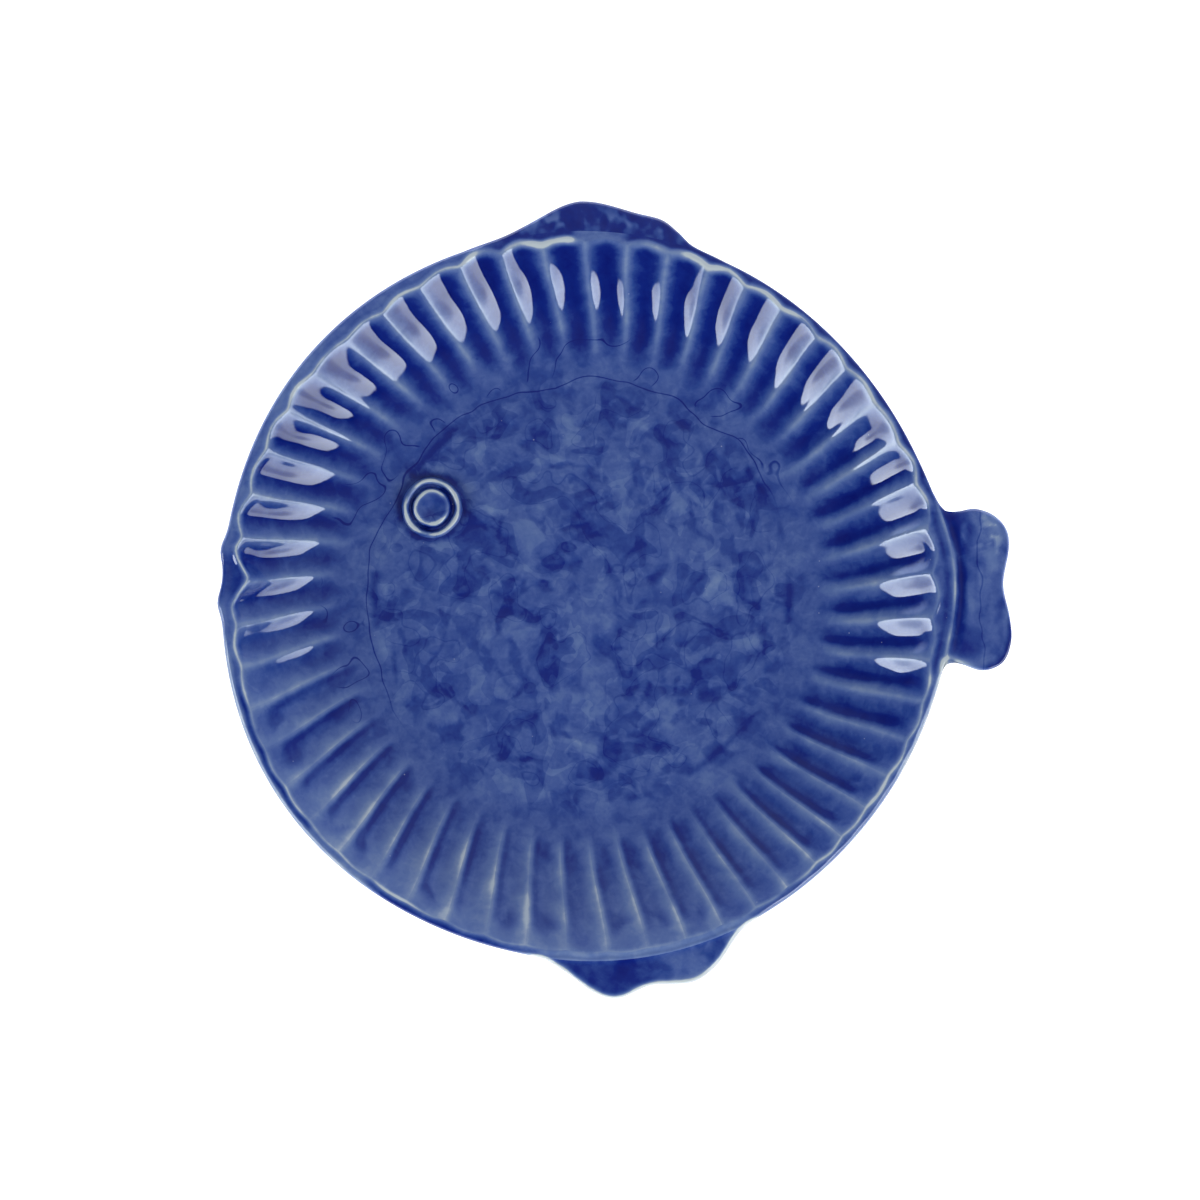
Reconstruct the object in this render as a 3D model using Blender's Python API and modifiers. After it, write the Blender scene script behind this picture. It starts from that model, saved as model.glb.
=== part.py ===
"""Fish-shaped salad plate in glazed stoneware. Metres, +Z up, standing on Z = 0.

A round dish with a fluted wall stands on a foot ring. A dorsal fin, a ventral fin, a tail, and an
eye made of a ring round a pupil are formed apart, then scored and luted on with slip before firing.
The fish looks towards -X, and the origin is the middle of the plate's footprint.
"""

import math

import bpy
from mathutils import Vector

# Round dish
RIM_RADIUS = 0.108  # outer edge of the dish, without fins and tail
CREST_INSET = 0.004  # outer edge to the crest of the wall
WELL_RADIUS = 0.064  # flat floor
WELL_SWEEP = 0.052  # radius of the curve from the floor into the wall
SWEEP_LIMIT = 0.95  # of the largest curve that the wall has room for
DISH_DEPTH = 0.0165  # crest above the floor
CLAY_THICKNESS = 0.005  # floor and wall
ROLL_FALL = 0.0014  # crest down to the top of the outer edge, over the rolled rim
RIM_EDGE = 0.0045  # upright outer edge, which fins and tail butt against

# Flutes pressed into the wall
FLUTES = 52
FLUTE_GAP = 0.008  # from the well to where the flutes begin
FLUTE_DEPTH = 0.0022  # at the middle of the wall, measured outwards
CREST_SCALLOP = 0.0012  # how far each flute bows the crest outwards
FLUTE_LEAN = math.radians(2.5)  # turn of a flute between its foot and the crest
FIRST_FLUTE = math.radians(6.9)
FLUTE_DRIFT = ((1, 4.0, -110.0), (2, 1.1, -20.0), (3, 0.9, -32.0))  # waves round the rim, degrees, phase

# Mouth pinched into the rim
MOUTH_ANGLE = math.radians(177.0)
MOUTH_DENT = 0.004  # how far the crest is pushed in
MOUTH_WIDTH = 0.006
LIP_PROUD = 0.0008  # how far each lip stands out of the rim
LIP_SPREAD = 0.008  # from the middle of the mouth to each lip
LIP_WIDTH = 0.004

# Foot ring under the well
FOOT_HEIGHT = 0.005  # table to the underside of the dish
FOOT_WIDTH = 0.008
FOOT_INSET = 0.001  # in from the edge of the flat underside
FOOT_TAPER = 0.0012  # lost on each side towards the table
FOOT_ROUND = 0.0008

# Fins and tail: an angle on the rim, then the free edge as distance along the rim and reach from it
FIN_THICKNESS = 0.0040
FIN_ROUND = 0.0010
DORSAL_ANGLE = math.radians(88.0)
DORSAL_EDGE = (
    (-0.0262, 0.0),
    (-0.0235, 0.0043),
    (-0.0170, 0.0064),
    (-0.0090, 0.0072),
    (0.0010, 0.0089),
    (0.0080, 0.0083),
    (0.0150, 0.0054),
    (0.0202, 0.0038),
    (0.0230, 0.0),
)
VENTRAL_ANGLE = math.radians(279.0)
VENTRAL_EDGE = (
    (-0.0250, 0.0),
    (-0.0210, 0.0052),
    (-0.0140, 0.0105),
    (-0.0075, 0.0127),
    (0.0020, 0.0101),
    (0.0135, 0.0120),
    (0.0190, 0.0105),
    (0.0280, 0.0048),
    (0.0318, 0.0),
)
TAIL_ANGLE = math.radians(1.0)
TAIL_EDGE = (
    (-0.0218, 0.0),
    (-0.0220, 0.0080),
    (-0.0202, 0.0172),
    (-0.0130, 0.0203),
    (0.0000, 0.0174),
    (0.0125, 0.0199),
    (0.0200, 0.0148),
    (0.0222, 0.0070),
    (0.0226, 0.0),
)

# Eye on the floor of the well
EYE_ANGLE = math.radians(149.7)
EYE_INSET = 0.0027  # from the edge of the well to the ring
EYE_RADIUS = 0.0095
EYE_RING_WIDTH = 0.0029
EYE_RING_HEIGHT = 0.0022
PUPIL_HEIGHT = 0.0025
PUPIL_LIP = 0.0011  # from the pupil's side in to its raised edge
PUPIL_DISH = 0.0007  # hollow in the middle of the pupil

SLIP_JOINT = 0.0003  # slip between luted pieces

# Fineness of the curved surfaces
STEPS_PER_FLUTE = 4
SWEEP_STEPS = 4
WALL_STEPS = 5
ROLL_STEPS = 3
RING_STEPS = 104
EYE_STEPS = 40
EYE_ROUND_STEPS = 4
EDGE_STEPS = 8
FIN_ROUND_STEPS = 2
MERGE_DISTANCE = 0.00001

# Worked out from the sizes above
CREST_RADIUS = RIM_RADIUS - CREST_INSET
FLOOR_HEIGHT = FOOT_HEIGHT + CLAY_THICKNESS
CREST_HEIGHT = FLOOR_HEIGHT + DISH_DEPTH
EDGE_TOP = CREST_HEIGHT - ROLL_FALL
EDGE_BOTTOM = EDGE_TOP - RIM_EDGE
WALL_RUN = CREST_RADIUS - WELL_RADIUS
LARGEST_SWEEP = (WALL_RUN**2 + DISH_DEPTH**2) / (2.0 * DISH_DEPTH)
SWEEP = min(WELL_SWEEP, SWEEP_LIMIT * LARGEST_SWEEP)
SWEEP_REACH = math.hypot(WALL_RUN, SWEEP - DISH_DEPTH)
WALL_SLOPE = math.pi / 2 - math.atan2(SWEEP - DISH_DEPTH, WALL_RUN) - math.acos(SWEEP / SWEEP_REACH)
WALL_FOOT = WELL_RADIUS + SWEEP * math.sin(WALL_SLOPE)
FLUTE_START = WELL_RADIUS + FLUTE_GAP
SEAT_RADIUS = RIM_RADIUS + SLIP_JOINT
FIN_LEVEL = (EDGE_TOP + EDGE_BOTTOM) / 2
EYE_DISTANCE = WELL_RADIUS - EYE_INSET - EYE_RADIUS

BLUE_GLAZE = (0.045, 0.07, 0.28, 1.0)
DEEP_GLAZE = (0.02, 0.03, 0.20, 1.0)
BARE_CLAY = (0.62, 0.53, 0.42, 1.0)
GLAZE_ROUGHNESS = 0.08
CLAY_ROUGHNESS = 0.75


def clear_scene():
    for thing in list(bpy.data.objects):
        bpy.data.objects.remove(thing, do_unlink=True)


def add_part(name, data, collection, axis):
    part = bpy.data.objects.new(name, data)
    collection.objects.link(part)
    part.parent = axis
    return part


def finish_surface(part, colour, roughness):
    """Gives a part a material of its own."""
    material = bpy.data.materials.new(part.name + "_surface")
    material.use_nodes = True
    shader = material.node_tree.nodes["Principled BSDF"]
    shader.inputs["Base Color"].default_value = colour
    shader.inputs["Roughness"].default_value = roughness
    shader.inputs["Metallic"].default_value = 0.0
    part.data.materials.append(material)


def turn_profile(part, profile, steps, closed):
    """Turns (radius, height) points about the part's Z axis. A closed profile makes a ring."""
    edges = [(i, i + 1) for i in range(len(profile) - 1)]
    if closed:
        edges.append((len(profile) - 1, 0))
    part.data.from_pydata([(radius, 0.0, height) for radius, height in profile], edges, [])
    screw = part.modifiers.new("turn", "SCREW")
    screw.steps = steps
    screw.render_steps = steps
    screw.use_merge_vertices = True
    screw.merge_threshold = MERGE_DISTANCE
    screw.use_smooth_shade = True


def apply_modifiers(part):
    """Makes the part's evaluated shape its own mesh."""
    graph = bpy.context.evaluated_depsgraph_get()
    shaped = bpy.data.meshes.new_from_object(part.evaluated_get(graph))
    plain = part.data
    part.modifiers.clear()
    part.data = shaped
    bpy.data.meshes.remove(plain)


def spread(start, end, count):
    """Evenly spaced values after start, up to and including end."""
    return [start + (end - start) * i / count for i in range(1, count + 1)]


def ease(value):
    """Rises smoothly from 0 to 1."""
    value = min(max(value, 0.0), 1.0)
    return value * value * (3.0 - 2.0 * value)


def bell(distance, width):
    return math.exp(-((distance / width) ** 2))


def upper_height(radius):
    """Height of the dish's upper side before the flutes are pressed in."""
    if radius <= WELL_RADIUS:
        return FLOOR_HEIGHT
    if radius <= WALL_FOOT:
        return FLOOR_HEIGHT + SWEEP - math.sqrt(SWEEP**2 - (radius - WELL_RADIUS) ** 2)
    if radius <= CREST_RADIUS:
        return CREST_HEIGHT - (CREST_RADIUS - radius) * math.tan(WALL_SLOPE)
    across = min((radius - CREST_RADIUS) / CREST_INSET, 1.0)
    return CREST_HEIGHT - ROLL_FALL * (1.0 - math.sqrt(1.0 - across**2))


def dish_profile():
    """The dish in section, from the middle of the floor over the rim to the middle of the underside."""
    slopes = spread(0.0, WALL_SLOPE, SWEEP_STEPS)
    upper = [0.0, WELL_RADIUS]
    upper += [WELL_RADIUS + SWEEP * math.sin(slope) for slope in slopes]
    upper += spread(WALL_FOOT, CREST_RADIUS, WALL_STEPS)
    upper += [CREST_RADIUS + CREST_INSET * math.sin(turn) for turn in spread(0.0, math.pi / 2, ROLL_STEPS)]
    profile = [(radius, upper_height(radius)) for radius in upper]
    profile.append((RIM_RADIUS, EDGE_BOTTOM))
    outer_sweep = SWEEP + CLAY_THICKNESS
    under_crest = CREST_RADIUS + CLAY_THICKNESS * math.sin(WALL_SLOPE)
    under_height = CREST_HEIGHT - CLAY_THICKNESS * math.cos(WALL_SLOPE)
    profile.append((under_crest - (under_height - EDGE_BOTTOM) / math.tan(WALL_SLOPE), EDGE_BOTTOM))
    for slope in reversed(slopes):
        rise = outer_sweep * (1.0 - math.cos(slope))
        profile.append((WELL_RADIUS + outer_sweep * math.sin(slope), FOOT_HEIGHT + rise))
    profile.append((WELL_RADIUS, FOOT_HEIGHT))
    profile.append((0.0, FOOT_HEIGHT))
    return profile


def flute_depth(radius):
    """How far out the middle of a flute is pressed: nothing on the floor and at the outer edge."""
    if radius >= CREST_RADIUS:
        return CREST_SCALLOP * max(RIM_RADIUS - radius, 0.0) / CREST_INSET
    middle = (FLUTE_START + CREST_RADIUS) / 2
    if radius <= middle:
        return FLUTE_DEPTH * ease((radius - FLUTE_START) / (middle - FLUTE_START))
    return FLUTE_DEPTH + (CREST_SCALLOP - FLUTE_DEPTH) * ease((radius - middle) / (CREST_RADIUS - middle))


def mouth_move(radius, angle):
    """How far the mouth moves the rim outwards: lips stand out of it, and the crest is pushed in."""
    along = (angle - MOUTH_ANGLE) * RIM_RADIUS
    lips = bell(along - LIP_SPREAD, LIP_WIDTH) + bell(along + LIP_SPREAD, LIP_WIDTH)
    out = LIP_PROUD * lips * ease((radius - CREST_RADIUS) / CREST_INSET)
    dent = MOUTH_DENT * bell(along, MOUTH_WIDTH)
    if radius > CREST_RADIUS:
        return out - dent * max(RIM_RADIUS - radius, 0.0) / CREST_INSET
    return -dent * ease((radius - WALL_FOOT) / (CREST_RADIUS - WALL_FOOT))


def press_wall(dish):
    """Presses the flutes and the mouth into the turned dish."""
    for vertex in dish.data.vertices:
        radius = math.hypot(vertex.co.x, vertex.co.y)
        even = math.atan2(vertex.co.y, vertex.co.x)
        drift = sum(math.radians(size) * math.sin(wave * even + math.radians(phase))
                    for wave, size, phase in FLUTE_DRIFT)
        lean = FLUTE_LEAN * ease((radius - FLUTE_START) / (CREST_RADIUS - FLUTE_START))
        angle = even + FIRST_FLUTE + drift + lean
        moved = radius
        on_upper_side = vertex.co.z > upper_height(radius) - CLAY_THICKNESS / 2
        in_rim = vertex.co.z > EDGE_BOTTOM - MERGE_DISTANCE
        if on_upper_side:
            across = (even * FLUTES / math.tau) % 1.0
            moved += flute_depth(radius) * 4.0 * across * (1.0 - across)
        if on_upper_side or in_rim:
            moved += mouth_move(radius, angle % math.tau)
        vertex.co.x = moved * math.cos(angle)
        vertex.co.y = moved * math.sin(angle)


def make_dish(collection, axis):
    dish = add_part("plate_body", bpy.data.meshes.new("plate_body"), collection, axis)
    turn_profile(dish, dish_profile(), FLUTES * STEPS_PER_FLUTE, closed=False)
    apply_modifiers(dish)
    press_wall(dish)
    finish_surface(dish, BLUE_GLAZE, GLAZE_ROUGHNESS)


def make_foot_ring(collection, axis):
    """A tapered ring under the edge of the well, flat where it stands."""
    ring = add_part("foot_ring", bpy.data.meshes.new("foot_ring"), collection, axis)
    outer = WELL_RADIUS - FOOT_INSET
    inner = outer - FOOT_WIDTH
    top = FOOT_HEIGHT - SLIP_JOINT
    profile = [
        (outer, top),
        (outer - FOOT_TAPER, FOOT_ROUND),
        (outer - FOOT_TAPER - FOOT_ROUND, 0.0),
        (inner + FOOT_TAPER + FOOT_ROUND, 0.0),
        (inner + FOOT_TAPER, FOOT_ROUND),
        (inner, top),
    ]
    turn_profile(ring, profile, RING_STEPS, closed=True)
    finish_surface(ring, BARE_CLAY, CLAY_ROUGHNESS)


def rim_point(angle, along, reach):
    """A point of a fin: along its seat from the middle, and reach out from the seat."""
    turn = angle + along / SEAT_RADIUS
    return Vector((math.cos(turn), math.sin(turn), 0.0)) * (SEAT_RADIUS + reach)


def make_fin(name, angle, edge, colour, collection, axis):
    """A slab with rounded edges, whose root follows the outer edge of the rim."""
    outline = bpy.data.curves.new(name, "CURVE")
    outline.dimensions = "2D"
    outline.fill_mode = "BOTH"
    outline.resolution_u = EDGE_STEPS
    outline.extrude = FIN_THICKNESS / 2 - FIN_ROUND
    outline.bevel_depth = FIN_ROUND
    outline.bevel_resolution = FIN_ROUND_STEPS
    outline.offset = -FIN_ROUND
    spline = outline.splines.new("BEZIER")
    spline.bezier_points.add(len(edge) - 1)
    spline.use_cyclic_u = True
    for point, (along, reach) in zip(spline.bezier_points, edge):
        point.co = rim_point(angle, along, reach)
        point.handle_left_type = "AUTO"
        point.handle_right_type = "AUTO"
    shape_root(spline.bezier_points)
    fin = add_part(name, outline, collection, axis)
    fin.location.z = FIN_LEVEL
    finish_surface(fin, colour, GLAZE_ROUGHNESS)


def shape_root(points):
    """Closes a fin's outline with an arc on its seat, from the last point back to the first."""
    first = points[0]
    last = points[-1]
    span = last.co.angle(first.co)
    handle = 4.0 / 3.0 * math.tan(span / 4) * SEAT_RADIUS
    for point in (first, last):
        point.handle_left_type = "FREE"
        point.handle_right_type = "FREE"
    tangent = Vector((-first.co.y, first.co.x, 0.0)).normalized()
    first.handle_left = first.co + tangent * handle
    first.handle_right = first.co.lerp(points[1].co, 1 / 3)
    tangent = Vector((-last.co.y, last.co.x, 0.0)).normalized()
    last.handle_right = last.co - tangent * handle
    last.handle_left = last.co.lerp(points[-2].co, 1 / 3)


def place_on_floor(part):
    part.location.x = EYE_DISTANCE * math.cos(EYE_ANGLE)
    part.location.y = EYE_DISTANCE * math.sin(EYE_ANGLE)
    part.location.z = FLOOR_HEIGHT + SLIP_JOINT


def make_eye_ring(collection, axis):
    """A half-round coil of clay."""
    ring = add_part("eye_ring", bpy.data.meshes.new("eye_ring"), collection, axis)
    middle = EYE_RADIUS - EYE_RING_WIDTH / 2
    profile = []
    for turn in [0.0] + spread(0.0, math.pi, 2 * EYE_ROUND_STEPS):
        profile.append((middle - EYE_RING_WIDTH / 2 * math.cos(turn), EYE_RING_HEIGHT * math.sin(turn)))
    turn_profile(ring, profile, EYE_STEPS, closed=True)
    place_on_floor(ring)
    finish_surface(ring, DEEP_GLAZE, GLAZE_ROUGHNESS)


def make_eye_pupil(collection, axis):
    """A button of clay inside the ring, with a raised edge and a hollow middle."""
    pupil = add_part("eye_pupil", bpy.data.meshes.new("eye_pupil"), collection, axis)
    side = EYE_RADIUS - EYE_RING_WIDTH - SLIP_JOINT
    lip = side - PUPIL_LIP
    profile = [(0.0, PUPIL_HEIGHT - PUPIL_DISH)]
    for share in spread(0.0, 1.0, EYE_ROUND_STEPS):
        profile.append((lip * share, PUPIL_HEIGHT - PUPIL_DISH * (1.0 - ease(share))))
    for turn in spread(0.0, math.pi / 2, EYE_ROUND_STEPS):
        profile.append((lip + PUPIL_LIP * math.sin(turn), PUPIL_HEIGHT * math.cos(turn)))
    profile.append((0.0, 0.0))
    turn_profile(pupil, profile, EYE_STEPS, closed=False)
    place_on_floor(pupil)
    finish_surface(pupil, DEEP_GLAZE, GLAZE_ROUGHNESS)


def centre_footprint(axis, collection):
    """Moves the plate so that the middle of its footprint is the origin."""
    bpy.context.view_layer.update()
    graph = bpy.context.evaluated_depsgraph_get()
    points = []
    for part in collection.objects:
        if part != axis:
            shaped = part.evaluated_get(graph)
            points += [shaped.matrix_world @ vertex.co for vertex in shaped.to_mesh().vertices]
            shaped.to_mesh_clear()
    axis.location.x = -(min(p.x for p in points) + max(p.x for p in points)) / 2
    axis.location.y = -(min(p.y for p in points) + max(p.y for p in points)) / 2


def main():
    clear_scene()
    collection = bpy.data.collections.new("fish_salad_plate")
    bpy.context.scene.collection.children.link(collection)
    axis = bpy.data.objects.new("plate_axis", None)
    collection.objects.link(axis)
    make_dish(collection, axis)
    make_foot_ring(collection, axis)
    make_fin("dorsal_fin", DORSAL_ANGLE, DORSAL_EDGE, BLUE_GLAZE, collection, axis)
    make_fin("ventral_fin", VENTRAL_ANGLE, VENTRAL_EDGE, DEEP_GLAZE, collection, axis)
    make_fin("tail_fin", TAIL_ANGLE, TAIL_EDGE, BLUE_GLAZE, collection, axis)
    make_eye_ring(collection, axis)
    make_eye_pupil(collection, axis)
    centre_footprint(axis, collection)


main()
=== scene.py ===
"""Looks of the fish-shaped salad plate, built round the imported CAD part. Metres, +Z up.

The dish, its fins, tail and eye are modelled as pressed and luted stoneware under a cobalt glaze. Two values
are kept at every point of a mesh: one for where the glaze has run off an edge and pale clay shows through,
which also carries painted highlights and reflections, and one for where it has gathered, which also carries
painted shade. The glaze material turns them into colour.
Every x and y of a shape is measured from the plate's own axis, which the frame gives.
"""

import math
import random

import bmesh
import bpy
import numpy as np
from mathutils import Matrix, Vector, kdtree, noise


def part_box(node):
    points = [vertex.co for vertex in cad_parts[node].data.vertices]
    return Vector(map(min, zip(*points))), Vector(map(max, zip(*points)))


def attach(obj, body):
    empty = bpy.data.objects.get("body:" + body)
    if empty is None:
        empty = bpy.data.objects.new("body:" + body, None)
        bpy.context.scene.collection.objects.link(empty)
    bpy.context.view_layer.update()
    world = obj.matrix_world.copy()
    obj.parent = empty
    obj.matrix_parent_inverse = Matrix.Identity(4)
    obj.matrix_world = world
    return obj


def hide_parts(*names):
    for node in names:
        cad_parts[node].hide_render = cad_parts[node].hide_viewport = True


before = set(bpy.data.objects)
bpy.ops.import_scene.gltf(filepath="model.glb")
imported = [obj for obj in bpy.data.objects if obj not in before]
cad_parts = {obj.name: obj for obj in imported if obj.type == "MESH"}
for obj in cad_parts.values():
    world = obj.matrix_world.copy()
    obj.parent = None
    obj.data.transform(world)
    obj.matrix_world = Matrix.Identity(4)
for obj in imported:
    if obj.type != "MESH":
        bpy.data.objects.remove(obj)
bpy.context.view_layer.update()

# Places that the frame gives
FOOT_LOW, FOOT_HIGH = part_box("foot_ring")
BODY_LOW, BODY_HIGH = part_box("plate_body")
FIN_LOW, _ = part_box("dorsal_fin")
RING_LOW, RING_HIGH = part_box("eye_ring")
_, PUPIL_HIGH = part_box("eye_pupil")
AXIS = (FOOT_LOW + FOOT_HIGH) / 2

# Eye
EYE_SHIFT = Vector((-0.0006, 0.0002, 0.0))  # given
EYE_PLACE = ((RING_LOW + RING_HIGH) / 2 - AXIS + EYE_SHIFT).xy
EYE_RADIUS = (RING_HIGH.x - RING_LOW.x) / 2
EYE_VALLEY = 0.0065  # between ring and pupil
EYE_FILL = 0.0016  # glaze gathered in it
EYE_WOBBLE = 0.0003
EYE_BED = 0.0004  # below the floor
COIL_RADIUS = 0.0080
COIL_HALF = 0.0013
PUPIL_RADIUS = 0.0050
PUPIL_HOLLOW = 0.0009
PUPIL_SIDE = 0.0011

# Round dish
RIM_RADIUS = 0.1086
RIM_WAVES = ((1, 0.00057, 146), (2, 0.00042, -165), (3, 0.00035, 134), (4, 0.00019, 28), (5, 0.00046, 101))
CREST_RADIUS = 0.104
CREST_HEIGHT = BODY_HIGH.z
CREST_LIFT = 0.0005  # taken off the crest by its rounding
WELL_RADIUS = 0.064
FLOOR_HEIGHT = 0.010
SWEEP = 0.052  # radius of the curve from the floor into the wall
UNDER_HEIGHT = BODY_LOW.z
CLAY = 0.005

# Flutes
FLUTES = 52
FLUTE_START = 0.071
FLUTE_FULL = 0.083  # from here to where it fades, a flute has its full depth
# Where a flute begins to end, by angle in degrees: near the crest it ends in a scoop, lower down it fades
FLUTE_FADES = (
    (0, 0.0975), (24, 0.0975), (34, 0.0860), (72, 0.0860), (82, 0.0930), (98, 0.0930),
    (108, 0.0860), (146, 0.0860), (156, 0.1003), (190, 0.1003), (200, 0.0860), (338, 0.0860),
    (350, 0.0975), (360, 0.0975),
)
FLUTE_DEPTH = 0.0026
FLUTE_DEPTH_WAVES = ((5, 0.12, 20), (11, 0.10, 75), (19, 0.08, 10))  # shares of the depth
FLUTE_WEAR = 0.4  # share of the depth lost on the lower half
CREST_SCALLOP = 0.0013
CREST_SCALLOP_WAVES = ((7, 0.28, 40), (17, 0.26, 110))  # shares of the scallop
CREST_SCALLOP_MEAN = 0.62  # of its section, as a share of its depth
CREST_SCALLOP_WEAR = 0.6
RIDGE_ROUND = 0.08  # share of a flute's width
FLUTE_LEAN = math.radians(2.5)
FIRST_FLUTE = math.radians(5.65)
FLUTE_DRIFT = ((1, 0.0698, -110), (2, 0.0192, -20), (3, 0.0157, -32))

# How much glaze has gathered in the flutes, together with painted shade, by angle in degrees; it is lessened
# on the lower and right walls as painted light
POOL_AND_SHADE_SHARES = (
    (0, 0.38), (60, 1.0), (150, 1.0), (178, 0.6), (198, 0.22), (250, 0.06), (285, 0.15),
    (315, 0.35), (345, 0.40), (360, 0.38),
)
# The same for glaze runs beside their ridges, together with a band of painted shade
RUN_AND_SHADE_SHARES = (
    (0, 0.7), (25, 0.4), (40, 0.0), (185, 0.0), (210, 0.9), (235, 1.0), (270, 0.3), (300, 0.8),
    (325, 1.1), (345, 0.8), (360, 0.7),
)

# Mouth
MOUTH_ANGLE = math.radians(177)
MOUTH_DENT = 0.0040
MOUTH_HALF = 0.009
MOUTH_FOOT = 0.094  # the wall is pushed in from here up
MOUTH_ROUND = 0.0008
MOUTH_SAG = 0.0007
MOUTH_HOLLOW = 0.0008  # in the ledge outside the mouth
LIP_PROUD = 0.0013
LIP_SPREAD = 0.008
LIP_WIDTH = 0.0042

# Ledge outside the crest: its mean width by angle in degrees
LEDGE_WIDTHS = (
    (25, 0.0024), (66, 0.0024), (106, 0.0027), (116, 0.0037), (127, 0.0048), (138, 0.0042),
    (156, 0.0034), (192, 0.0036), (230, 0.0030), (262, 0.0026), (324, 0.0027), (340, 0.0023),
    (346, 0.0030), (350, 0.0042), (357, 0.0054), (363, 0.0059), (369, 0.0050), (373, 0.0036),
    (378, 0.0026), (382, 0.0022), (385, 0.0024),
)
LEDGE_HEIGHT = CREST_HEIGHT - 0.00044
LEDGE_SLOPE = 0.03
LOWER_RIGHT_LIFT = 0.0003
BEAD_RUN = 0.0018  # crest down to the ledge
EDGE_ROUND = 0.0014
EDGE_FALL = 0.0019
EDGE_LEAST = 0.0008  # thickness left at the edge
UNDER_ROUND = 0.0012
UNDER_CORNER = ((0.0025, 0.0), (0.0008, 0.0001), (-0.0008, 0.0007))  # out and down, where rim meets wall
RIM_BOTTOM = FIN_LOW.z

# Fins: the free edge as distance along the rim from an angle on it, and reach from the rim
DORSAL_ANGLE = math.radians(88)
DORSAL_EDGE = (
    (-0.0400, 0.0), (-0.0300, 0.0009), (-0.0245, 0.0036), (-0.0190, 0.0061), (-0.0110, 0.0068),
    (0.0010, 0.0090), (0.0080, 0.0083), (0.0190, 0.0036), (0.0280, 0.0010), (0.0400, 0.0),
)
VENTRAL_ANGLE = math.radians(279)
VENTRAL_EDGE = (
    (-0.0360, 0.0), (-0.0284, 0.0006), (-0.0208, 0.0045), (-0.0132, 0.0101), (-0.0070, 0.0117),
    (0.0020, 0.0090), (0.0132, 0.0107), (0.0208, 0.0081), (0.0284, 0.0028), (0.0335, 0.0005),
    (0.0400, 0.0),
)
VENTRAL_STEP = 0.0008
VENTRAL_DROOP = 0.16

# Tail: its free edge from the lower root to the upper one
TAIL_FIRST = math.radians(-14.5)
TAIL_LAST = math.radians(16.5)
TAIL_EDGE = (
    (0.1070, -0.0222), (0.1094, -0.0195), (0.1129, -0.0205), (0.1197, -0.0226), (0.1258, -0.0201),
    (0.1283, -0.0135), (0.1277, -0.0060), (0.1259, 0.0033), (0.1276, 0.0140), (0.1267, 0.0198),
    (0.1229, 0.0239), (0.1174, 0.0258), (0.1124, 0.0250), (0.1094, 0.0246), (0.1070, 0.0267),
)
TAIL_CORNERS = (TAIL_EDGE[1], TAIL_EDGE[-2])
TAIL_SEAT = 0.0022  # how far the rim bows out behind the tail
TAIL_SEAT_ANGLE = math.radians(3.5)
TAIL_SEAT_WIDTH = math.radians(11)
TAIL_RIB = 0.0004  # along the root
TAIL_GROOVE = 0.0007
TAIL_GROOVE_WIDTH = 0.0011
TAIL_PILLOW = 0.0008
TAIL_FLECKS = (0.1215, 0.0185)  # middle of the pale flecks on it
TAIL_POOL = (0.1150, -0.0145)

# Stretches of the rim: first and last angle, and how far they fade beyond them, in degrees
BEHIND_TAIL = (-11, 13, 3)
INSIDE_TAIL = (-6.5, 10, 3)
# More painted highlight on the outer edge below the tail
BELOW_TAIL = (-27, -13, 5)
RIGHT_WALL = (-18, 24, 10)
UPPER_RIGHT = (20, 70, 8)
BESIDE_FIN = (68, 108, 3)
PLAIN_STRIP = (84, 90.5, 2)  # of the ledge, beside the dorsal fin
# Where the crest's halo carries more painted highlight
SHEEN_ON_CREST = (113, 150, 8)
# Where the flat of the ledge carries a painted reflection
SHEEN_ON_LEDGE = (112, 195, 6)
MORE_SHEEN_ON_LEDGE = (150, 212, 6)
SHADE_BESIDE_CREST = (197, 219, 3)  # painted shade beside the crest
# A wider painted highlight on the outer edge
LOWER_LEFT = (190, 232, 5)
LOWER_HALF = (208, 322, 24)
DARK_LEDGE = (236, 256, 4)
# Less painted highlight on the outer edge, between the softboxes
DARK_EDGE = (238, 258, 4)
LOWER_RIGHT = (300, 346, 6)
DARK_RIDGES = (292, 350, 12)

# Foot ring
FOOT_WIDTH = 0.008
FOOT_CORNER = 0.0008
FOOT_TAPER = 0.0020  # how far the corner's centre stands in from the side

# Strokes, patches and lines on the floor of the well and on the tail
STROKES = 170
STROKE_SEED = 7
STROKE_REACH = 0.0625
STROKE_ROUND = 0.042  # farther out than this, strokes run round the floor
STROKE_LENGTHS = (0.0016, 0.0080)
MARK_HEIGHT = 0.00010
CLOUD_HEIGHT = 0.00020
BORDER_RADIUS = 0.0625  # of glaze gathered round the floor
LINE_RADIUS = 0.0648  # of a painted reflection of a dark seam round the floor
TAIL_LINE_X = 0.1190  # of a fine dark line down the tail

# Fineness of the meshes
FLUTE_COLUMNS = 16
RIDGE_CROWDING = 0.55
OUTLINE_STEPS = 2400
FIN_COLUMNS = 180
EYE_STEPS = 96
SHARP_EDGE = math.radians(55)
# Rings of floor and wall: every how many columns they have a point, first radius, last radius and step
WALL_RINGS = (
    (16, 0.001, 0.0065, 0.001),
    (8, 0.007, 0.0135, 0.0008),
    (4, 0.014, 0.0265, 0.0007),
    (2, 0.027, 0.0675, 0.0007),
    (1, 0.068, 0.0996, 0.0009),
    (1, 0.1000, 0.1039, 0.0003),
)
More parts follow.
